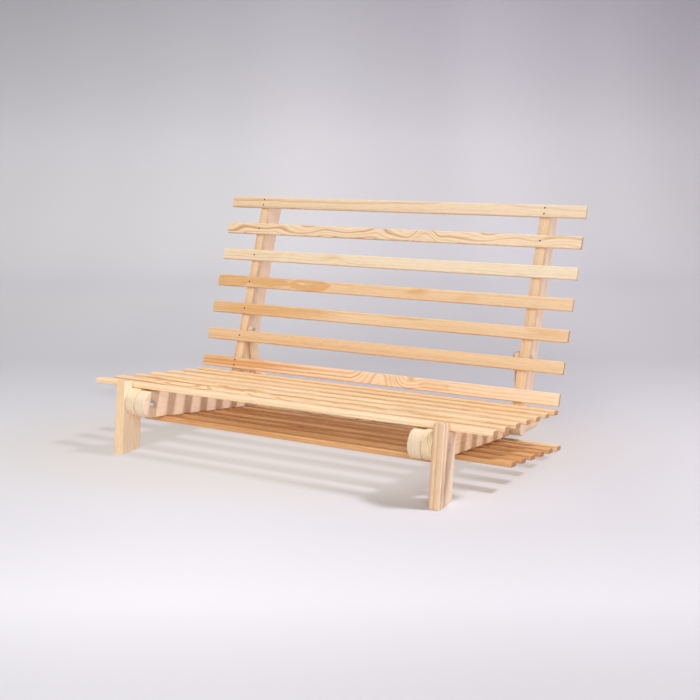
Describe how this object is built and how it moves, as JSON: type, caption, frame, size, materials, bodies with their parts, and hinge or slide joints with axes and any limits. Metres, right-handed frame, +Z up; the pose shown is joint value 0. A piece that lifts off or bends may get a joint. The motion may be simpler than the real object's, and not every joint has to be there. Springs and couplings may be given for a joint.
{
  "type": "sofa bed",
  "caption": "Slatted pine sofa bed: seat, reclining back and a front section folded under it, hinged on bolts at rounded rail ends, on folding legs.",
  "frame": {"origin": "on the floor, under the middle of the bounding box", "axes": "+X along the slats to the right as seen from the front, +Y to the back, +Z up"},
  "size_m": [1.4, 1.0062, 0.7839],
  "materials": {
    "slat_pine": "light honey pine, planed, untreated or thinly oiled",
    "frame_pine": "paler planed pine with fine stripes of grain",
    "zinc_hardware": "zinc-plated"
  },
  "bodies": {
    "seat": {"seat_slat_1": "slat_pine", "seat_slat_2": "slat_pine", "seat_slat_3": "slat_pine", "seat_slat_4": "slat_pine", "seat_slat_5": "slat_pine", "seat_slat_6": "slat_pine", "seat_slat_7": "slat_pine", "seat_rail_left": "frame_pine", "front_pivot_bolt_left": "zinc_hardware", "front_pivot_washer_left": "zinc_hardware", "front_pivot_nut_left": "zinc_hardware", "rear_pivot_bolt_left": "zinc_hardware", "rear_pivot_washer_left": "zinc_hardware", "rear_pivot_nut_left": "zinc_hardware", "seat_rail_right": "frame_pine", "front_pivot_bolt_right": "zinc_hardware", "front_pivot_washer_right": "zinc_hardware", "front_pivot_nut_right": "zinc_hardware", "rear_pivot_bolt_right": "zinc_hardware", "rear_pivot_washer_right": "zinc_hardware", "rear_pivot_nut_right": "zinc_hardware"},
    "leg_left": {"leg_left": "frame_pine"},
    "leg_right": {"leg_right": "frame_pine"},
    "front_section": {"front_slat_1": "slat_pine", "front_slat_2": "slat_pine", "front_slat_3": "slat_pine", "front_slat_4": "slat_pine", "front_slat_5": "slat_pine", "front_slat_6": "slat_pine", "front_slat_7": "slat_pine", "front_rail_left": "frame_pine", "front_rail_right": "frame_pine"},
    "backrest": {"back_slat_1": "slat_pine", "back_slat_2": "slat_pine", "back_slat_3": "slat_pine", "back_slat_4": "slat_pine", "back_slat_5": "slat_pine", "back_slat_6": "slat_pine", "back_slat_7": "slat_pine", "back_upright_left": "frame_pine", "prop_bolt_left": "zinc_hardware", "prop_nut_left": "zinc_hardware", "back_upright_right": "frame_pine", "prop_bolt_right": "zinc_hardware", "prop_nut_right": "zinc_hardware"},
    "prop_left": {"prop_left": "frame_pine"},
    "prop_right": {"prop_right": "frame_pine"}
  },
  "joints": [
    {"name": "leg_fold_left", "type": "hinge", "parent": "seat", "child": "leg_left", "pos_m": [-0.558, -0.43583, 0.164], "axis": [1, 0, 0], "range_deg": [0, 90]},
    {"name": "leg_fold_right", "type": "hinge", "parent": "seat", "child": "leg_right", "pos_m": [0.558, -0.43583, 0.164], "axis": [1, 0, 0], "range_deg": [0, 90]},
    {"name": "front_swing", "type": "hinge", "parent": "seat", "child": "front_section", "pos_m": [0, -0.43583, 0.164], "axis": [-1, 0, 0], "range_deg": [0, 178.6]},
    {"name": "backrest_fold", "type": "hinge", "parent": "seat", "child": "backrest", "pos_m": [0, 0.19954, 0.07923], "axis": [-1, 0, 0], "range_deg": [0, 76.54]},
    {"name": "prop_fold_left", "type": "hinge", "parent": "backrest", "child": "prop_left", "pos_m": [-0.5305, 0.25326, 0.29108], "axis": [1, 0, 0], "range_deg": [0, 145.43]},
    {"name": "prop_fold_right", "type": "hinge", "parent": "backrest", "child": "prop_right", "pos_m": [0.5305, 0.25326, 0.29108], "axis": [1, 0, 0], "range_deg": [0, 145.43]}
  ],
  "couplings": [
    {"joint": "prop_fold_left", "follows": "backrest_fold", "ratio": 1.9},
    {"joint": "prop_fold_right", "follows": "backrest_fold", "ratio": 1.9}
  ]
}
